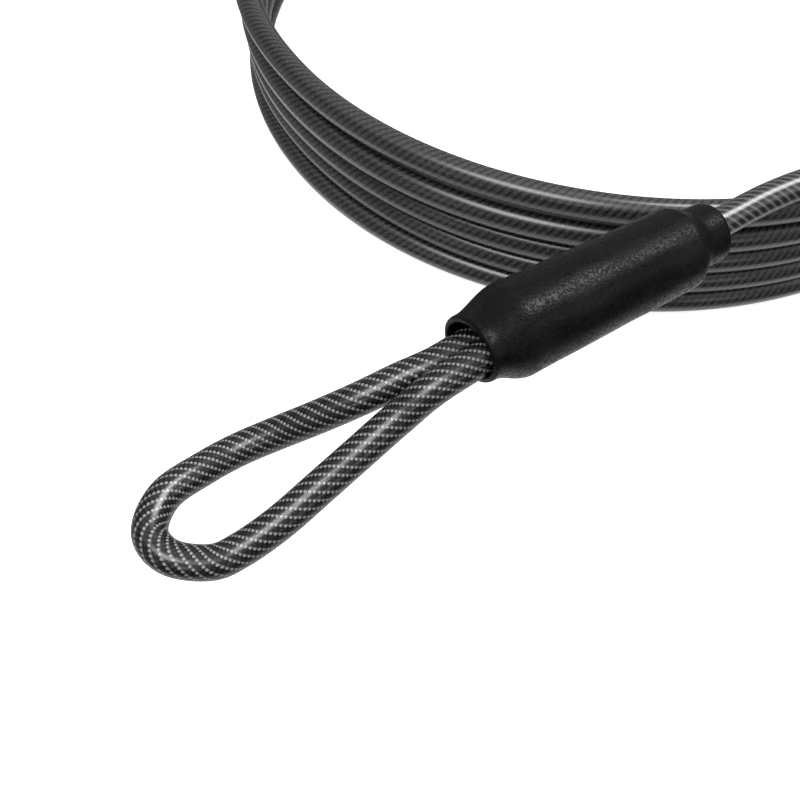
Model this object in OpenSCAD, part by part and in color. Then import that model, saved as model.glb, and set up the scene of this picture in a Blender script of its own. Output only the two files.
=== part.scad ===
// Double-loop security cable: a jacketed wire rope, coiled, with a swaged and sleeved eye at each end.
// Millimetres, +Z up. Origin: centre of the footprint, on the surface that the coil rests on.

/* [Cable] */
// Outer diameter of the cable over its clear jacket
cable_d = 10; // [9:0.5:10]
// Wall of the clear jacket
jacket_wall = 0.6; // [0.4:0.1:0.8]
// Thickness of the woven layer under the jacket
weave_wall = 0.5; // [0.3:0.1:0.7]

/* [Coil] */
// Mean radius of the coil's turns
coil_r = 162; // [160:1:164]
// Full turns that lie one on another
coil_turns = 5; // [3:1:5]
// How far a turn may wander in or out of the stack
turn_wander = 1.5; // [1:0.5:2]

/* [Eyes] */
// Points that the path of a cable makes between two route points
path_steps = 2; // [1:1:3]

/* [Sleeves] */
// Length from the sleeve's mouth to its exit rim
sleeve_length = 93; // [91:1:96]
// Radius over the ferrule at the mouth end
body_r_mouth = 14.2; // [14:0.1:14.5]
// Radius over the ferrule at the exit end
body_r_exit = 13; // [12.8:0.1:13.4]
// Thickness of the sleeve
sleeve_wall = 1.9; // [1.4:0.1:2]
// Half width of the oval mouth, across its two legs of cable
mouth_across = 12.2; // [12:0.1:12.6]
// Half height of the oval mouth
mouth_height = 9.8; // [9.4:0.1:10.5]
// Radius of the exit rim
exit_r = 9.9; // [9.6:0.1:10.7]
// How far the exit rim sits off the axis, towards the live leg's free side
exit_lift = 0.3; // [0:0.1:1.2]
// Length over which the sleeve narrows behind the ferrule
neck_run = 7; // [6:1:9]
// How far off the axis the cable still is where the neck begins
neck_offset = 3; // [2.5:0.1:3.1]

/* [Ferrules] */
// Length of the swaged ferrule
ferrule_length = 63; // [60:1:64]
// Depth of the ferrule's face behind the sleeve's mouth
ferrule_start = 15; // [15:1:17]
// Chamfer on the ferrule's ends
ferrule_chamfer = 1.5; // [0.5:0.5:2]
// How far the cut end of the rope stands out of the ferrule
tail_stub = 3; // [1:1:4]

/* [Hidden] */
$fn = 96;
tube_sides = 10;
sleeve_sides = 36;
seam = 0.1;

rope_r = cable_d / 2 - jacket_wall - weave_wall;
weave_r = cable_d / 2 - jacket_wall;
leg_offset = cable_d / 2;
ferrule_end = ferrule_start + ferrule_length;

// The coil's outer shape: a wall of stacked turns, and the first turn as it climbs off the stack.
coil_center = [1, 59, 0];
stack_height = coil_turns * cable_d;
stack_half = cable_d / 2 + turn_wander;
climb_from = -60;
climb_to = 100;

// Each end fitting: the middle of the sleeve's mouth, then roll, pitch and yaw in degrees.
front_mouth = [-78, -231, 63.5];
front_turn = [-28, -4.2, 33.5];
rear_mouth = [-23, 89, 14.4];
rear_turn = [0, -0.8, 10];

// Route points, measured from the coil's centre on the floor. Each eye runs from its live leg,
// round the tip, to its dead leg.
front_eye_route = [
    [-86, -230, 57], [-97, -234, 54], [-108, -238, 50.5], [-120, -240.5, 45], [-132, -242.5, 39.5],
    [-143.5, -246, 36], [-153, -252, 35.5], [-162.5, -261.5, 37], [-165, -273, 37.5],
    [-159, -280, 36.5], [-148, -281, 35], [-140, -277.5, 35.5], [-129.5, -271, 39],
    [-118.5, -262.5, 43.5], [-108, -254, 47.5], [-97, -246, 53], [-86, -239.5, 59.5]
];
rear_eye_route = [
    [-35, 92.5, 13.2], [-45.5, 91.5, 11.5], [-58, 91.5, 9.5], [-70.5, 92.5, 7.5], [-82.5, 93, 6],
    [-94.5, 92.5, 5], [-105.5, 89.5, 5], [-113, 83.5, 5], [-115.5, 75, 5],
    [-112.5, 67, 5], [-104, 61.5, 5], [-92, 61, 5], [-80.5, 64, 5.5],
    [-69, 68.5, 7], [-58, 73.5, 9], [-45.5, 78.5, 11], [-33, 82, 13.2]
];
front_lead_route = [[5, -174, 55.8], [22, -163.5, 56.2], [40, -155, 56.2], [60, -149.5, 55.8]];
rear_lead_route = [
    [70, 108, 12.5], [85, 108.5, 10], [101, 105, 7.5], [116, 97, 6], [129, 86, 5], [140, 73, 5],
    [148.5, 58, 5]
];

function unit(v) = v / norm(v);

// One axis of a fitting's own frame, in the coil's frame.
function turned(v, turn) =
    let (a = v,
         b = [a.x, a.y * cos(turn.x) - a.z * sin(turn.x), a.y * sin(turn.x) + a.z * cos(turn.x)],
         c = [b.x * cos(turn.y) - b.z * sin(turn.y), b.y, b.x * sin(turn.y) + b.z * cos(turn.y)])
    [c.x * cos(turn.z) - c.y * sin(turn.z), c.x * sin(turn.z) + c.y * cos(turn.z), c.z];

// A point of one leg inside the ferrule: side 1 is the live leg and side -1 the dead one.
function leg_point(mouth, turn, along, side) = mouth + turned([along, side * leg_offset, 0], turn);

// A smooth curve through the route's points.
function between(a, b, c, d, t) =
    0.5 * (2 * b + (c - a) * t + (2 * a - 5 * b + 4 * c - d) * t * t
    + (3 * b - a - 3 * c + d) * t * t * t);
function smooth(route, steps = path_steps) =
    let (last = len(route) - 1)
    concat(
        [for (i = [0 : last - 1], s = [0 : steps - 1])
            between(route[max(i - 1, 0)], route[i], route[i + 1], route[min(i + 2, last)], s / steps)],
        [route[last]]);

// A closed ring of points round a path at one of its points.
function ring(path, i, r, sides) =
    let (last = len(path) - 1,
         along = unit(path[min(i + 1, last)] - path[max(i - 1, 0)]),
         side = unit(cross(along, [0, 0, 1])),
         up = cross(side, along))
    [for (k = [0 : sides - 1]) path[i] + r * (cos(360 * k / sides) * side + sin(360 * k / sides) * up)];

// The faces of a wall between successive rings, seen from outside or from inside.
function wall_faces(rings, sides, first, outward) = [
    for (i = [0 : rings - 2], k = [0 : sides - 1])
        let (a = first + i * sides + k,
             b = first + i * sides + (k + 1) % sides,
             quad = [a, b, b + sides, a + sides])
        outward ? quad : [quad[3], quad[2], quad[1], quad[0]]
];

// A solid tube along a path.
module rod(path, r, sides = tube_sides) {
    rings = len(path);
    start_cap = [[for (k = [sides - 1 : -1 : 0]) k]];
    end_cap = [[for (k = [0 : sides - 1]) (rings - 1) * sides + k]];
    polyhedron(
        points = [for (i = [0 : rings - 1]) each ring(path, i, r, sides)],
        faces = concat(wall_faces(rings, sides, 0, true), start_cap, end_cap),
        convexity = 8);
}

// A hollow wall between two sets of rings, joined at both ends.
module hollow(outer_rings, inner_rings, sides) {
    rings = len(outer_rings);
    inner = rings * sides;
    start_rim = [for (k = [0 : sides - 1])
        [(k + 1) % sides, k, inner + k, inner + (k + 1) % sides]];
    end_rim = [for (k = [0 : sides - 1])
        let (o = (rings - 1) * sides) [o + k, o + (k + 1) % sides,
            inner + o + (k + 1) % sides, inner + o + k]];
    polyhedron(
        points = concat([for (r = outer_rings) each r], [for (r = inner_rings) each r]),
        faces = concat(wall_faces(rings, sides, 0, true), wall_faces(rings, sides, inner, false),
            start_rim, end_rim),
        convexity = 8);
}

module sheath(path, r_out, r_in, sides = tube_sides) {
    all = [0 : len(path) - 1];
    hollow([for (i = all) ring(path, i, r_out, sides)], [for (i = all) ring(path, i, r_in, sides)], sides);
}

// Path of an eye, from the ferrule's face on the live leg to the same face on the dead leg.
function eye_path(mouth, turn, route) = smooth(concat(
    [leg_point(mouth, turn, ferrule_start, 1), leg_point(mouth, turn, ferrule_start - 3, 1)],
    route,
    [leg_point(mouth, turn, ferrule_start - 3, -1), leg_point(mouth, turn, ferrule_start, -1)]));

module eye_jacket(mouth, turn, route) {
    color([0.16, 0.16, 0.17, 0.5]) sheath(eye_path(mouth, turn, route), cable_d / 2, weave_r);
}

module eye_weave(mouth, turn, route) {
    color([0.32, 0.32, 0.33]) sheath(eye_path(mouth, turn, route), weave_r, rope_r);
}

// The wire rope runs on through the ferrule: its live leg to the lead, its dead leg to a cut end.
module eye_rope(mouth, turn, route) {
    color([0.62, 0.63, 0.65])
        rod(concat(
            [leg_point(mouth, turn, ferrule_end, 1)],
            eye_path(mouth, turn, route),
            [leg_point(mouth, turn, ferrule_end + tail_stub, -1)]), rope_r);
}

// The sleeve's outline: an oval mouth, an easy shoulder, a slightly tapered body and a round exit.
function ease(x) = let (t = min(max(x, 0), 1)) t * t * (3 - 2 * t);
function sleeve_axes(t) =
    let (body = body_r_mouth + (body_r_exit - body_r_mouth) * t / sleeve_length,
         in = ease((t - 2) / (ferrule_start - 2)),
         out = ease((t - ferrule_end) / neck_run))
    [mouth_across + (body - mouth_across) * in + (exit_r - body) * out,
     mouth_height + (body - mouth_height) * in + (exit_r - body) * out,
     exit_lift * out];
function sleeve_ring(t, less) =
    let (axes = sleeve_axes(t))
    [for (k = [0 : sleeve_sides - 1])
        let (angle = 360 * k / sleeve_sides)
        [t, (axes.x - less) * cos(angle), (axes.y - less) * sin(angle) + axes.z]];

module sleeve(mouth, turn) {
    stations = concat([0, 2, 5, 8, 11, ferrule_start],
        [for (i = [0 : 4]) ferrule_end + neck_run * i / 4], [sleeve_length]);
    color([0.05, 0.05, 0.05])
        translate(mouth) rotate([turn.x, -turn.y, turn.z])
        hollow([for (t = stations) sleeve_ring(t, 0)], [for (t = stations) sleeve_ring(t, sleeve_wall)],
            sleeve_sides);
}

module ferrule(mouth, turn) {
    r_start = sleeve_axes(ferrule_start).x - sleeve_wall - seam;
    r_end = sleeve_axes(ferrule_end).x - sleeve_wall - seam;
    color([0.75, 0.76, 0.78])
        translate(mouth) rotate([turn.x, -turn.y, turn.z]) translate([ferrule_start, 0, 0])
        rotate([0, 90, 0])
        difference() {
            union() {
                cylinder(h = ferrule_chamfer, r1 = r_start - ferrule_chamfer, r2 = r_start);
                translate([0, 0, ferrule_chamfer])
                    cylinder(h = ferrule_length - 2 * ferrule_chamfer, r1 = r_start, r2 = r_end);
                translate([0, 0, ferrule_length - ferrule_chamfer])
                    cylinder(h = ferrule_chamfer, r1 = r_end, r2 = r_end - ferrule_chamfer);
            }
            for (side = [-1, 1])
                translate([0, side * leg_offset, -1]) cylinder(h = ferrule_length + 2, r = rope_r);
        }
}

// The stacked turns as one wall, with the single turn that climbs off them lying on top.
module coil_stack() {
    rotate_extrude() translate([coil_r - stack_half, 0]) square([2 * stack_half, stack_height]);
    rotate([0, 0, climb_from]) rotate_extrude(angle = climb_to - climb_from)
        translate([coil_r - cable_d / 2, stack_height - 1]) square([cable_d, cable_d + 1]);
}

module cable_coil() {
    color([0.12, 0.12, 0.13]) translate(coil_center) coil_stack();
}

// A lead ends on the face of the coil that it runs into.
module lead(mouth, turn, route) {
    from = leg_point(mouth, turn, ferrule_end, 1);
    neck = mouth + turned([ferrule_end + neck_run + 2, neck_offset, 0], turn);
    color([0.12, 0.12, 0.13]) translate(coil_center)
        difference() {
            rod(smooth(concat([from, neck], route)), cable_d / 2);
            coil_stack();
        }
}

module cable_lead_front() {
    join = coil_r * [cos(climb_from), sin(climb_from), 0] + [0, 0, stack_height + cable_d / 2];
    lead(front_mouth, front_turn, concat(front_lead_route, [join]));
}

module cable_lead_rear() {
    lead(rear_mouth, rear_turn, rear_lead_route);
}

module front_sleeve() { translate(coil_center) sleeve(front_mouth, front_turn); }
module front_ferrule() { translate(coil_center) ferrule(front_mouth, front_turn); }
module front_eye_jacket() { translate(coil_center) eye_jacket(front_mouth, front_turn, front_eye_route); }
module front_eye_weave() { translate(coil_center) eye_weave(front_mouth, front_turn, front_eye_route); }
module front_eye_rope() { translate(coil_center) eye_rope(front_mouth, front_turn, front_eye_route); }
module rear_sleeve() { translate(coil_center) sleeve(rear_mouth, rear_turn); }
module rear_ferrule() { translate(coil_center) ferrule(rear_mouth, rear_turn); }
module rear_eye_jacket() { translate(coil_center) eye_jacket(rear_mouth, rear_turn, rear_eye_route); }
module rear_eye_weave() { translate(coil_center) eye_weave(rear_mouth, rear_turn, rear_eye_route); }
module rear_eye_rope() { translate(coil_center) eye_rope(rear_mouth, rear_turn, rear_eye_route); }

front_sleeve();
front_ferrule();
front_eye_jacket();
front_eye_weave();
front_eye_rope();
rear_sleeve();
rear_ferrule();
rear_eye_jacket();
rear_eye_weave();
rear_eye_rope();
cable_lead_front();
cable_lead_rear();
cable_coil();
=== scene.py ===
# Double-loop security cable: a coil of jacketed wire rope with a swaged, sleeved eye at each end.
import math

import bpy
from mathutils import Matrix, Vector, noise


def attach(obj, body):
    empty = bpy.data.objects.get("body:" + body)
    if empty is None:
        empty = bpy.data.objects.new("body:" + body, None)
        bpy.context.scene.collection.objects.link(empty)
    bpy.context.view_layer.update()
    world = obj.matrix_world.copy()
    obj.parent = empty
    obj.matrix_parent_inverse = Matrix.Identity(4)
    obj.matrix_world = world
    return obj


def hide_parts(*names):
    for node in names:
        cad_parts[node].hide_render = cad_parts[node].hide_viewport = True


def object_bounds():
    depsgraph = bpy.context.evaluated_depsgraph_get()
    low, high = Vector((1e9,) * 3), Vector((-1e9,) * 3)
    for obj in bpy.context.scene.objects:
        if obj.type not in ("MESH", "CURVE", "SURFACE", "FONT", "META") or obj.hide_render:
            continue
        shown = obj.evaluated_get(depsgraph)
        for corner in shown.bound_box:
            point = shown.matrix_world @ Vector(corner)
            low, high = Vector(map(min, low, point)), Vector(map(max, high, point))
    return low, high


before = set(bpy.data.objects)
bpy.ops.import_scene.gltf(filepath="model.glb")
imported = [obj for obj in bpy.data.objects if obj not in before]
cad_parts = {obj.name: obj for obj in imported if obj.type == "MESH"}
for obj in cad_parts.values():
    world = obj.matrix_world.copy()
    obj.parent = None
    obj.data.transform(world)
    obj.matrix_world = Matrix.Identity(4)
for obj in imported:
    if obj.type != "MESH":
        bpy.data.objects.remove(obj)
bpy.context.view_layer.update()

MM = 0.001
CM_PER_MM = 0.1

# ---------------------------------------------------------------- sizes in mm, repeated from the CAD
CABLE_R = 5.0  # over the clear jacket
COIL_R = 162.0
CENTRE = Vector((1.0, 59.0, 0.0))  # the coil's centre on the floor; every other place is given from it
TOP_Z, STEP_Z, TURNS = 55.0, 10.0, 5

SLEEVE_LEN = 93.0
BODY_MOUTH, BODY_EXIT = 14.2, 13.0  # the body's radius if it ran on to either end
WALL = 1.9
MOUTH_ACROSS, MOUTH_HEIGHT = 12.2, 9.8
MOUTH_RUN = 2.0  # how far in the mouth keeps its own width
EXIT_R, EXIT_LIFT = 9.9, 0.3
FERRULE_START, FERRULE_END = 15.0, 78.0
NECK_RUN = 7.0
LEG = 5.0  # how far off the sleeve's axis each side of the eye goes in
NECK_OFFSET, EXIT_OFFSET = 3.0, 2.5  # the same for the cable, in the neck and where it leaves it

# Each sleeve: the middle of its mouth, and its roll, pitch and yaw in degrees.
FRONT = (Vector((-78, -231, 63.5)), (-28.0, -4.2, 33.5))
REAR = (Vector((-23, 89, 14.4)), (0.0, -0.8, 10.0))

FRONT_EYE = [
    (-86, -230, 57), (-97, -234, 54), (-108, -238, 50.5), (-120, -240.5, 45), (-132, -242.5, 39.5),
    (-143.5, -246, 36), (-153, -252, 35.5), (-162.5, -261.5, 37), (-165, -273, 37.5),
    (-159, -280, 36.5), (-148, -281, 35), (-140, -277.5, 35.5), (-129.5, -271, 39),
    (-118.5, -262.5, 43.5), (-108, -254, 47.5), (-97, -246, 53), (-86, -239.5, 59.5),
]
REAR_EYE = [
    (-35, 92.5, 13.2), (-45.5, 91.5, 11.5), (-58, 91.5, 9.5), (-70.5, 92.5, 7.5), (-82.5, 93, 6),
    (-94.5, 92.5, 5), (-105.5, 89.5, 5), (-113, 83.5, 5), (-115.5, 75, 5),
    (-112.5, 67, 5), (-104, 61.5, 5), (-92, 61, 5), (-80.5, 64, 5.5),
    (-69, 68.5, 7), (-58, 73.5, 9), (-45.5, 78.5, 11), (-33, 82, 13.2),
]
FRONT_LEAD = [(5, -174, 55.8), (22, -163.5, 56.2), (40, -155, 56.2), (60, -149.5, 55.8)]
REAR_LEAD = [
    (70, 108, 12.5), (85, 108.5, 10), (101, 105, 7.5), (116, 97, 6), (129, 86, 5), (140, 73, 5),
    (148.5, 58, 5),
]

# ---------------------------------------------------------------- what Blender adds to those sizes
WEAVE_R = 4.88  # the woven layer as wide as it looks through the jacket; the CAD's own is narrower

# Angles along the coil are in degrees from where the front lead joins it.
JOIN = -60.0  # where that is, in degrees round from +X
COIL_END, COIL_STEP = 360 * TURNS + 75, 5
STEP_FROM, STEP_OVER = 65.0, 160.0  # where in each lap the cable steps down by one turn
# Soft bumps along the coil: the middle and half width in degrees, and how far, in millimetres.
LIFTS = [(310, 85, 2.4), (665, 85, 0.8)]  # up off the turn below
JOIN_LIFT, JOIN_LIFT_OVER = 0.6, 40.0  # up where the front lead joins
WANDER = [  # in or out
    (240, 34, 2.2), (298, 62, -1.3), (1010, 90, -1.0), (1352, 40, -1.6), (1375, 70, -1.0),
    (640, 60, 0.5), (1730, 60, 0.3), (120, 50, -1.0), (470, 50, 0.9), (860, 60, -0.8),
    (1220, 60, 0.7), (1560, 50, -0.7),
]

# How finely the tubes are cut: steps between two points of a route, millimetres from ring to ring, sides.
CABLE_CUT = (6, 2.5, 28)
EYE_CUT = (16, 0.9, 40)


# ---------------------------------------------------------------- curves and frames
def fitting_matrix(fitting):
    """The frame of a sleeve: x along it from the mouth, y across its two legs."""
    mouth, (roll, pitch, yaw) = fitting
    turn = (
        Matrix.Rotation(math.radians(yaw), 4, "Z")
        @ Matrix.Rotation(math.radians(-pitch), 4, "Y")
        @ Matrix.Rotation(math.radians(roll), 4, "X")
    )
    return Matrix.Translation(CENTRE + mouth) @ turn


def fitting_point(fitting, along, across):
    """A point in a sleeve, given from the coil's centre as the routes are."""
    return fitting_matrix(fitting) @ Vector((along, across, 0)) - CENTRE


def spline(points, steps):
    """The CAD's own curve through the points, cut finer."""
    p = [Vector(q) for q in points]
    last = len(p) - 1
    out = []
    for i in range(last):
        a, b, c, d = p[max(i - 1, 0)], p[i], p[i + 1], p[min(i + 2, last)]
        for s in range(steps):
            t = s / steps
            out.append(
                0.5 * (2 * b + (c - a) * t + (2 * a - 5 * b + 4 * c - d) * t * t
                       + (3 * b - a - 3 * c + d) * t * t * t)
            )
    out.append(p[last])
    return out


def run_of(points):
    """How far along the line each of its points is."""
    run = [0.0]
    for a, b in zip(points, points[1:]):
        run.append(run[-1] + (b - a).length)
    return run


def even(points, gap):
    """The same line with its points evenly spaced."""
    run = run_of(points)
    count = max(2, round(run[-1] / gap))
    out, k = [], 0
    for i in range(count + 1):
        want = run[-1] * i / count
        while k < len(run) - 2 and run[k + 1] < want:
            k += 1
        span = run[k + 1] - run[k]
        t = 0 if span == 0 else (want - run[k]) / span
        out.append(points[k].lerp(points[k + 1], min(max(t, 0), 1)))
    return out


def carried(points):
    """Side and up at each point, turned along the line without twist."""
    last = len(points) - 1
    tangents = [
        (points[min(i + 1, last)] - points[max(i - 1, 0)]).normalized() for i in range(last + 1)
    ]
    side = tangents[0].cross(Vector((0, 0, 1))).normalized()
    frames = []
    for i, t in enumerate(tangents):
        if i:
            side = tangents[i - 1].rotation_difference(t) @ side
        side = (side - t * side.dot(t)).normalized()
        frames.append((side, t.cross(side)))
    return frames


def ease(x):
    t = min(max(x, 0.0), 1.0)
    return t * t * (3 - 2 * t)


def bumps_at(turn, bumps):
    return sum(by * ease(1 - abs(turn - at) / wide) for at, wide, by in bumps)


def coil_point(turn):
    """A point of the coil; turn is in degrees from where the front lead joins it."""
    lap, angle = divmod(turn, 360.0)
    z = TOP_Z - STEP_Z * min(lap, TURNS)
    if lap < TURNS:
        z -= STEP_Z * ease((angle - STEP_FROM) / STEP_OVER)
    z += bumps_at(turn, LIFTS)
    z += JOIN_LIFT * ease(1 - turn / JOIN_LIFT_OVER)
    r = COIL_R + bumps_at(turn, WANDER)
    theta = math.radians(angle + JOIN)
    return Vector((r * math.cos(theta), r * math.sin(theta), z))


def lead_start(fitting):
    """The cable inside a sleeve: off the axis in the ferrule, nearer to it in the neck."""
    return [
        fitting_point(fitting, FERRULE_END - 3, LEG),
        fitting_point(fitting, FERRULE_END, LEG),
        fitting_point(fitting, FERRULE_END + NECK_RUN + 2, NECK_OFFSET),
    ]


def cut(points, steps, gap):
    """A route given from the coil's centre, as an evenly spaced line in the shared frame."""
    return [p + CENTRE for p in even(spline(points, steps), gap)]


def cable_route():
    turns = [coil_point(t) for t in range(0, COIL_END + 1, COIL_STEP)]
    return lead_start(FRONT) + FRONT_LEAD + turns + REAR_LEAD[::-1] + lead_start(REAR)[::-1]


def eye_route(fitting, route):
    """The eye's two sides run on into the ferrule's two bores."""
    first, second = (
        [fitting_point(fitting, FERRULE_START - back, across) for back in (0, 3)]
        for across in (LEG, -LEG)
    )
    return first + route + second[::-1]


# ---------------------------------------------------------------- meshes
def link(name, mesh):
    piece = bpy.data.objects.new(name, mesh)
    bpy.context.scene.collection.objects.link(piece)
    return piece


def mesh_of(name, verts, faces, uvs=None):
    """A smooth mesh in metres from corners in millimetres."""
    mesh = bpy.data.meshes.new(name)
    mesh.from_pydata([v * MM for v in verts], [], faces)
    if uvs:
        layer = mesh.uv_layers.new(name="along")
        for poly in mesh.polygons:
            for loop, uv in zip(poly.loop_indices, uvs[poly.index]):
                layer.data[loop].uv = uv
    mesh.polygons.foreach_set("use_smooth", [True] * len(mesh.polygons))
    mesh.update()
    return mesh


def tube(name, line, radius, sides):
    """A closed tube. Its map runs once round it across, and along it in centimetres."""
    verts, faces, uvs = [], [], []
    run = [r * CM_PER_MM for r in run_of(line)]
    for p, (side, up) in zip(line, carried(line)):
        for k in range(sides):
            a = 2 * math.pi * k / sides
            verts.append(p + radius * (math.cos(a) * side + math.sin(a) * up))
    for i in range(len(line) - 1):
        for k in range(sides):
            n = (k + 1) % sides
            faces.append((i * sides + k, i * sides + n, (i + 1) * sides + n, (i + 1) * sides + k))
            u0, u1 = k / sides, (k + 1) / sides
            uvs.append(((u0, run[i]), (u1, run[i]), (u1, run[i + 1]), (u0, run[i + 1])))
    last = (len(line) - 1) * sides
    faces.append(tuple(range(sides - 1, -1, -1)))
    uvs.append([(0, 0)] * sides)
    faces.append(tuple(last + k for k in range(sides)))
    uvs.append([(0, run[-1])] * sides)
    return link(name, mesh_of(name, verts, faces, uvs))


# ---------------------------------------------------------------- camera
CAMERA_AT = CENTRE + Vector((-96.8, -381.0, 260.5))
CAMERA_DOWN = 55.85  # how far below level it looks, in degrees

camera_data = bpy.data.cameras.new("camera")
camera_data.sensor_width = 36.0
camera_data.lens = 40.5
camera_data.clip_start = 0.01
camera = bpy.data.objects.new("camera", camera_data)
bpy.context.scene.collection.objects.link(camera)
camera.location = CAMERA_AT * MM
camera.rotation_euler = (math.radians(90 - CAMERA_DOWN), 0, 0)
bpy.context.scene.camera = camera

# ---------------------------------------------------------------- the cable, from sleeve to sleeve
steps, gap, sides = CABLE_CUT
cable_line = cut(cable_route(), steps, gap)
cable = tube("cable", cable_line, CABLE_R, sides)
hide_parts("cable_coil", "cable_lead_front", "cable_lead_rear")
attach(cable, "root")


# ---------------------------------------------------------------- node helpers
class Nodes:
    """Short calls for building one node tree."""

    def __init__(self, tree):
        self.tree = tree

    def add(self, kind, **settings):
        node = self.tree.nodes.new("ShaderNode" + kind)
        for key, value in settings.items():
            setattr(node, key, value)
        return node

    def put(self, socket, value):
        if isinstance(value, bpy.types.NodeSocket):
            self.tree.links.new(value, socket)
        else:
            socket.default_value = value

    def math(self, operation, *values):
        node = self.add("Math", operation=operation)
        for socket, value in zip(node.inputs, values):
            self.put(socket, value)
        return node.outputs[0]

    def centred(self, value):
        """Where a value is in its own whole step, from -0.5 to 0.5."""
        return self.math("SUBTRACT", self.math("FRACT", value), 0.5)

    def distance(self, x, y):
        squares = [self.math("MULTIPLY", v, v) for v in (x, y)]
        return self.math("SQRT", self.math("ADD", *squares))

    def spread(self, value, low, high, to_low=0.0, to_high=1.0):
        """Smoothly from to_low at low to to_high at high."""
        node = self.add("MapRange", interpolation_type="SMOOTHSTEP")
        for name, v in (("Value", value), ("From Min", low), ("From Max", high),
                        ("To Min", to_low), ("To Max", to_high)):
            self.put(node.inputs[name], v)
        return node.outputs["Result"]

    def mix(self, factor, a, b):
        node = self.add("Mix", data_type="RGBA")
        self.put(node.inputs["Factor"], factor)
        self.put(node.inputs[6], a)
        self.put(node.inputs[7], b)
        return node.outputs[2]

    def noise(self, vector, scale, detail, rough=0.5):
        node = self.add("TexNoise")
        self.put(node.inputs["Vector"], vector)
        node.inputs["Scale"].default_value = scale
        node.inputs["Detail"].default_value = detail
        node.inputs["Roughness"].default_value = rough
        return node.outputs["Fac"]

    def bump(self, height, strength, distance):
        node = self.add("Bump")
        node.inputs["Strength"].default_value = strength
        node.inputs["Distance"].default_value = distance
        self.put(node.inputs["Height"], height)
        return node.outputs["Normal"]


class MaterialNodes(Nodes):
    """The node tree of one new material."""

    def __init__(self, name):
        self.material = bpy.data.materials.new(name)
        self.material.use_nodes = True
        super().__init__(self.material.node_tree)
        self.tree.nodes.clear()
        self.out = self.add("OutputMaterial")

    def principled(self, **values):
        """A principled shader as the surface. It gives back the finished material."""
        node = self.add("BsdfPrincipled")
        for name, value in values.items():
            self.put(node.inputs[name.replace("_", " ")], value)
        return self.finish(node)

    def finish(self, shader):
        self.tree.links.new(shader.outputs[0], self.out.inputs["Surface"])
        return self.material


def grey(v):
    return (v, v, v, 1.0)


# ---------------------------------------------------------------- materials
STARTS = 9  # slanting rows side by side in the weave
# In the coil the dark bars lean the other way: how far along the cable one goes round it, and how many
# of them are met in going once round.
BAR_LAY_CM, BARS_ROUND = 2.6, 8.0
# The change from lead to coil is painted light: the lead shows painted glint on one set of yarns, the coil
# dark bars along the other set.
LEAD_ENDS_CM = (10.5, 12.5)  # along the cable, where the look of the lead gives way to the coil's


def tube_map(n):
    """A tube's own map: how far round it, from 0 to 1, and how many centimetres along it."""
    split = n.add("SeparateXYZ")
    n.put(split.inputs[0], n.add("UVMap", uv_map="along").outputs["UV"])
    return split.outputs[0], split.outputs[1]


def weave(n, columns, lay_cm, radius):
    """Slanting rows on a tube's own map: a function for their dots and one for the rows themselves.
    Each row goes once round in lay_cm, and the dots stand in columns along the tube."""
    round_it, along_it = tube_map(n)
    pitch = lay_cm * 10.0 / STARTS
    across = n.math("MULTIPLY", round_it, float(columns))
    along = n.math("MULTIPLY", along_it, STARTS / lay_cm)
    # each column of dots is turned on by its own share of the lay
    column = n.math("FLOOR", across)
    turned = n.math("DIVIDE", n.math("MULTIPLY", column, float(STARTS)), float(columns))
    dot_at = n.math("SUBTRACT", along, turned)
    row_at = n.math("SUBTRACT", along, n.math("MULTIPLY", round_it, float(STARTS)))
    x = n.math("MULTIPLY", n.centred(across), 2 * math.pi * radius / columns)

    def dots(offset, inner, outer, shape):
        """1 in a dot of the inner radius in millimetres, 0 outside the outer one. The offset moves it
        on, in rows, and a shape under 1 makes it longer along the cable."""
        y = n.math("MULTIPLY", n.centred(n.math("ADD", dot_at, offset)), pitch * shape)
        return n.spread(n.distance(x, y), inner, outer, 1.0, 0.0)

    def rows(offset):
        """How far, in millimetres along the cable, from the middle of a slanting row."""
        return n.math("MULTIPLY", n.math("ABSOLUTE", n.centred(n.math("ADD", row_at, offset))), pitch)

    return dots, rows


def cable_material():
    """The cable in the coil and the leads: a clear coat over a woven layer with dark slanting bars, and on
    the leads pale rungs of painted glint.
    """
    n = MaterialNodes("cable_jacket")
    dots, rows = weave(n, columns=36, lay_cm=2.75, radius=CABLE_R)
    round_it, along_it = tube_map(n)
    in_coil = n.spread(along_it, *LEAD_ENDS_CM)

    other_way = n.math(
        "ADD",
        n.math("MULTIPLY", along_it, STARTS / BAR_LAY_CM),
        n.math("MULTIPLY", round_it, BARS_ROUND),
    )
    coil_bars = n.spread(n.math("ABSOLUTE", n.centred(other_way)), 0.10, 0.30, 1.0, 0.0)
    lead_bars = n.spread(rows(0.0), 0.5, 1.1, 1.0, 0.0)
    # painted light: the lean of the bars switches from lead to coil, where the light would pick out the
    # other set of yarns
    bars = n.mix(in_coil, lead_bars, coil_bars)
    bright = dots(0.5, 0.15, 0.40, 0.8)
    # painted glint: pale rungs along the lead's rows of yarn
    rung_glint = n.spread(rows(0.5), 0.3, 0.75, 1.0, 0.0)

    lead_base_and_glint = n.mix(rung_glint, grey(0.018), grey(0.095))
    base = n.mix(in_coil, lead_base_and_glint, grey(0.034))
    base = n.mix(n.math("MULTIPLY", bright, 0.35), base, grey(0.13))
    base = n.mix(n.math("MULTIPLY", bars, 0.93), base, grey(0.003))
    height = n.math("SUBTRACT", bright, n.math("MULTIPLY", bars, 0.6))
    return n.principled(
        Base_Color=base, Roughness=0.55, Specular_IOR_Level=0.15, Normal=n.bump(height, 0.4, 0.0002),
        Coat_Weight=1.0, Coat_Roughness=0.25, Coat_IOR=1.6,
    )


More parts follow.
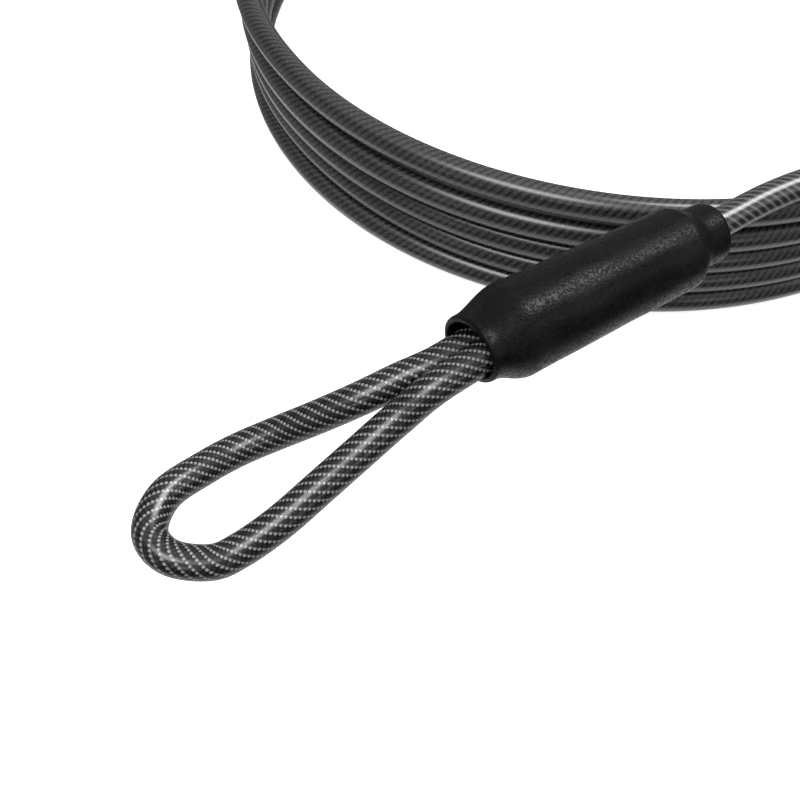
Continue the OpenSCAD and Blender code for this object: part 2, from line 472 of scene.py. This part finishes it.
def eye_weave_material():
    """The eyes' woven layer: rows of bright dots on thin pale lines, dim dots between them, and the
    greater part of the jacket's gloss as a coat."""
    n = MaterialNodes("woven_layer")
    dots, rows = weave(n, columns=34, lay_cm=3.0, radius=4.6)
    bright = dots(0.5, 0.24, 0.48, 0.9)
    dim = dots(0.0, 0.18, 0.44, 0.9)
    thread = n.spread(rows(0.5), 0.15, 0.55, 1.0, 0.0)
    base = n.mix(thread, grey(0.004), grey(0.09))
    base = n.mix(n.math("MULTIPLY", dim, 0.8), base, grey(0.045))
    base = n.mix(bright, base, grey(0.46))
    return n.principled(
        Base_Color=base, Roughness=0.6, Specular_IOR_Level=0.1,
        Coat_Weight=1.0, Coat_Roughness=0.21, Coat_IOR=1.5,
    )


def jacket_material():
    """Clear smoke plastic: the weave shows through it, and its rim mirrors more. The rim is darkened
    partly for the longer path through the plastic and partly as a painted dark outline.
    """
    n = MaterialNodes("clear_jacket")
    fresnel = n.add("Fresnel")
    fresnel.inputs["IOR"].default_value = 1.65
    facing = n.add("LayerWeight")
    facing.inputs["Blend"].default_value = 0.5
    # painted shade at the rim: the see-through colour goes dark towards the edge, partly for the longer
    # path through the plastic, partly as a painted outline
    rim = n.spread(facing.outputs["Facing"], 0.6, 0.95)
    through = n.add("BsdfTransparent")
    n.put(through.inputs["Color"], n.mix(rim, grey(0.86), grey(0.07)))
    gloss = n.add("BsdfGlossy")
    gloss.inputs["Color"].default_value = grey(1.0)
    gloss.inputs["Roughness"].default_value = 0.26
    both = n.add("MixShader")
    n.put(both.inputs[0], n.math("MULTIPLY", fresnel.outputs[0], 0.3))
    n.put(both.inputs[1], through.outputs[0])
    n.put(both.inputs[2], gloss.outputs[0])
    return n.finish(both)


def rubber_material():
    """Black moulded rubber: a fine grain, with a gloss broken up in blotches, patches and specks."""
    n = MaterialNodes("sleeve_rubber")
    at = n.add("TexCoord").outputs["Object"]
    grain = n.noise(at, 2100.0, 1.5, 0.6)
    blotch = n.noise(at, 70.0, 3.0, 0.55)
    patch = n.spread(n.noise(at, 420.0, 3.0, 0.6), 0.3, 0.7, 0.18, 0.30)
    speck = n.spread(n.noise(at, 1250.0, 2.0, 0.6), 0.42, 0.58, 0.32, 0.0)
    uneven = n.math("MULTIPLY", n.math("SUBTRACT", blotch, 0.5), 0.3)
    return n.principled(
        Base_Color=n.mix(n.spread(blotch, 0.35, 0.7), grey(0.003), grey(0.006)),
        Roughness=n.math("ADD", n.math("ADD", patch, uneven), speck),
        Normal=n.bump(grain, 1.0, 0.00008), Specular_IOR_Level=0.13,
    )


def steel_material():
    n = MaterialNodes("rope_steel")
    strand = n.noise(n.add("TexCoord").outputs["Object"], 900.0, 2.0)
    return n.principled(
        Base_Color=n.mix(strand, grey(0.28), grey(0.55)), Metallic=1.0,
        Roughness=n.spread(strand, 0.2, 0.8, 0.28, 0.45),
    )


def ferrule_material():
    n = MaterialNodes("ferrule_metal")
    dent = n.noise(n.add("TexCoord").outputs["Object"], 180.0, 3.0)
    return n.principled(
        Base_Color=n.mix(dent, grey(0.42), grey(0.62)), Metallic=1.0,
        Roughness=n.spread(dent, 0.2, 0.8, 0.3, 0.5), Normal=n.bump(dent, 0.3, 0.0004),
    )


def floor_material():
    n = MaterialNodes("floor")
    return n.principled(
        Base_Color=grey(0.6), Roughness=0.9, Specular_IOR_Level=0.0,
        Emission_Color=grey(1.0), Emission_Strength=0.85,
    )


cable.data.materials.append(cable_material())

# ---------------------------------------------------------------- eyes
WEAVE_MAT = eye_weave_material()
JACKET_MAT = jacket_material()
steps, gap, sides = EYE_CUT
for end, fitting, route in (("front", FRONT, FRONT_EYE), ("rear", REAR, REAR_EYE)):
    eye_line = cut(eye_route(fitting, route), steps, gap)
    woven = tube(end + "_weave", eye_line, WEAVE_R, sides)
    woven.data.materials.append(WEAVE_MAT)
    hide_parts(end + "_eye_weave")
    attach(woven, "root")
    jacket = tube(end + "_jacket", eye_line, CABLE_R, sides)
    jacket.data.materials.append(JACKET_MAT)
    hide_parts(end + "_eye_jacket")
    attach(jacket, "root")


# ---------------------------------------------------------------- sleeves
SLEEVE_SIDES = 96
# How far along the sleeve its rings lie: outside from the mouth to the neck, then back inside.
OUTER_RINGS = (
    [0.35, 0.9, 1.6]
    + [2.4 + 0.9 * i for i in range(18)]
    + [20 + 4 * i for i in range(14)]
    + [76 + 0.8 * i for i in range(20)]
    + [92.0, 92.6]
)
INNER_RINGS = [
    92.85, 92.2, 91.0, 88.0, 85.0, 83.0, 81.0, 79.0, 77.0, 60.0, 40.0,
    20.0, 15.0, 12.0, 9.0, 6.0, 4.0, 2.5, 1.4, 0.7, 0.2,
]
LIP = 0.9  # the radius of the rounded edges at both ends
UNEVEN, UNEVEN_ALONG, UNEVEN_ROUND = 0.35, 0.07, 1.3  # the outer skin's swells: height and fineness


def sleeve_axes(t):
    """Half its width, half its height and its lift, at t along the sleeve."""
    body = BODY_MOUTH + (BODY_EXIT - BODY_MOUTH) * t / SLEEVE_LEN
    narrow = ease((t - MOUTH_RUN) / (FERRULE_START - MOUTH_RUN))
    out = ease((t - FERRULE_END) / NECK_RUN)
    return (
        MOUTH_ACROSS + (body - MOUTH_ACROSS) * narrow + (EXIT_R - body) * out,
        MOUTH_HEIGHT + (body - MOUTH_HEIGHT) * narrow + (EXIT_R - body) * out,
        EXIT_LIFT * out,
    )


def rounded(t):
    """How far the skin has turned in at t, for the rounded edges at both ends."""
    beyond = max(LIP - t, t - SLEEVE_LEN + LIP, 0.0) / LIP
    return LIP * (1 - math.sqrt(max(0, 1 - beyond ** 2)))


def sleeve(end, fitting, seed):
    # each ring: how far along, how far inside the outer skin, how uneven
    rings = [(t, rounded(t), UNEVEN) for t in OUTER_RINGS]
    rings += [(t, WALL - rounded(t), 0.0) for t in INNER_RINGS]
    verts, faces = [], []
    place = fitting_matrix(fitting)
    for t, inside, uneven in rings:
        a, b, lift = sleeve_axes(t)
        for k in range(SLEEVE_SIDES):
            angle = 2 * math.pi * k / SLEEVE_SIDES
            y, z = math.cos(angle), math.sin(angle)
            at = Vector((t * UNEVEN_ALONG + seed, y * UNEVEN_ROUND, z * UNEVEN_ROUND))
            swell = uneven * noise.noise(at) - inside
            verts.append(place @ Vector((t, (a + swell) * y, (b + swell) * z + lift)))
    for i in range(len(rings)):
        j = (i + 1) % len(rings)
        for k in range(SLEEVE_SIDES):
            m = (k + 1) % SLEEVE_SIDES
            here, there = i * SLEEVE_SIDES, j * SLEEVE_SIDES
            faces.append((here + k, here + m, there + m, there + k))
    piece = link(end + "_sleeve_skin", mesh_of(end + "_sleeve_skin", verts, faces))
    piece.data.materials.append(RUBBER)
    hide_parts(end + "_sleeve")
    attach(piece, "root")


RUBBER = rubber_material()
sleeve("front", FRONT, seed=3.1)
sleeve("rear", REAR, seed=8.4)

# ---------------------------------------------------------------- CAD solids that stay, inside the sleeves
STAYING = {"_ferrule": ferrule_material(), "_rope": steel_material()}
for node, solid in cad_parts.items():
    for ending, material in STAYING.items():
        if node.endswith(ending):
            solid.data.materials.clear()
            solid.data.materials.append(material)

# ---------------------------------------------------------------- floor and walls
# A flat floor that sweeps up into white walls and a ceiling: radius and height of each ring, in metres.
SWEEP = [
    (1.5, 0), (3.0, 0), (3.4, 0.03), (3.9, 0.2), (4.3, 0.6), (4.5, 1.2), (4.5, 3.0), (3.0, 4.4),
    (1.0, 4.8),
]
AROUND = 48
UNDER = 0.0001  # how far the floor lies under the model, in metres

sweep_verts = [(0, 0, 0)]
sweep_faces = [(0, 1 + k, 1 + (k + 1) % AROUND) for k in range(AROUND)]
for ring, (radius, height) in enumerate(SWEEP):
    lower, upper = 1 + (ring - 1) * AROUND, 1 + ring * AROUND
    for k in range(AROUND):
        a = 2 * math.pi * k / AROUND
        sweep_verts.append((radius * math.cos(a), radius * math.sin(a), height))
        if ring:
            m = (k + 1) % AROUND
            sweep_faces.append((lower + k, upper + k, upper + m, lower + m))
floor_mesh = bpy.data.meshes.new("floor")
floor_mesh.from_pydata(sweep_verts, [], sweep_faces)
floor_mesh.materials.append(floor_material())
floor = link("floor", floor_mesh)
floor.location.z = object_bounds()[0][2] - UNDER
# the world's soft lights are what lights the object and shows in its gloss, so the sweep keeps out of both
floor.visible_glossy = False
floor.visible_diffuse = False
floor.visible_shadow = False

# ---------------------------------------------------------------- light
# The studio's soft lights, as seen from the object: the way to each one in degrees round (from +X) and
# up, half its width and half its height in degrees, how it leans, how soft its edge is, its brightness.
SOFT_LIGHTS = [
    (-127, 65, 16, 12, 0, 0.4, 8.0),  # key, high in front
    (30, 55, 9, 16, -33, 0.4, 15.0),  # second light, high on the right
    (-18, 27, 12, 12, 0, 0.6, 1.8),  # four weak ones, low in front, from right to left
    (-60, 19, 7, 10, 0, 0.6, 1.6),
    (-99, 27, 7, 7, 0, 0.5, 3.0),
    (-140, 12, 10, 12, 0, 0.6, 0.8),
    (178, -15, 26, 30, 0, 0.5, 0.3),  # white wall on the left
    (88, 0, 45, 34, 0, 0.5, 0.35),  # white wall behind
]
# Brightness over how steeply one looks up, from -1 to 1: from, to, and the brightness at both.
DOME = (0.50, 0.80, 0.10, 0.62)
FLOOR_GLOW = (-0.62, -0.48, 0.85, 0.0)


def studio():
    world = bpy.data.worlds.new("world")
    world.use_nodes = True
    n = Nodes(world.node_tree)
    way = n.add("TexCoord").outputs["Generated"]

    def along(axis):
        node = n.add("VectorMath", operation="DOT_PRODUCT")
        n.put(node.inputs[0], way)
        node.inputs[1].default_value = axis
        return node.outputs["Value"]

    height = along(Vector((0, 0, 1)))
    total = n.math("ADD", n.spread(height, *DOME), n.spread(height, *FLOOR_GLOW))
    for az, el, wide, tall, lean, soft, brightness in SOFT_LIGHTS:
        az, el, lean = map(math.radians, (az, el, lean))
        to = Vector((math.cos(az) * math.cos(el), math.sin(az) * math.cos(el), math.sin(el)))
        flat = Vector((-math.sin(az), math.cos(az), 0))
        rise = to.cross(flat)
        u = math.cos(lean) * flat + math.sin(lean) * rise
        v = math.cos(lean) * rise - math.sin(lean) * flat
        x = n.math("DIVIDE", along(u), math.sin(math.radians(wide)))
        y = n.math("DIVIDE", along(v), math.sin(math.radians(tall)))
        lit = n.spread(n.distance(x, y), 1.0 - soft, 1.0 + soft, brightness, 0.0)
        ahead = n.math("GREATER_THAN", along(to), 0.0)
        total = n.math("ADD", total, n.math("MULTIPLY", lit, ahead))
    background = world.node_tree.nodes["Background"]
    background.inputs["Color"].default_value = grey(1.0)
    n.put(background.inputs["Strength"], total)
    bpy.context.scene.world = world


studio()
bpy.context.scene.view_settings.view_transform = "Standard"
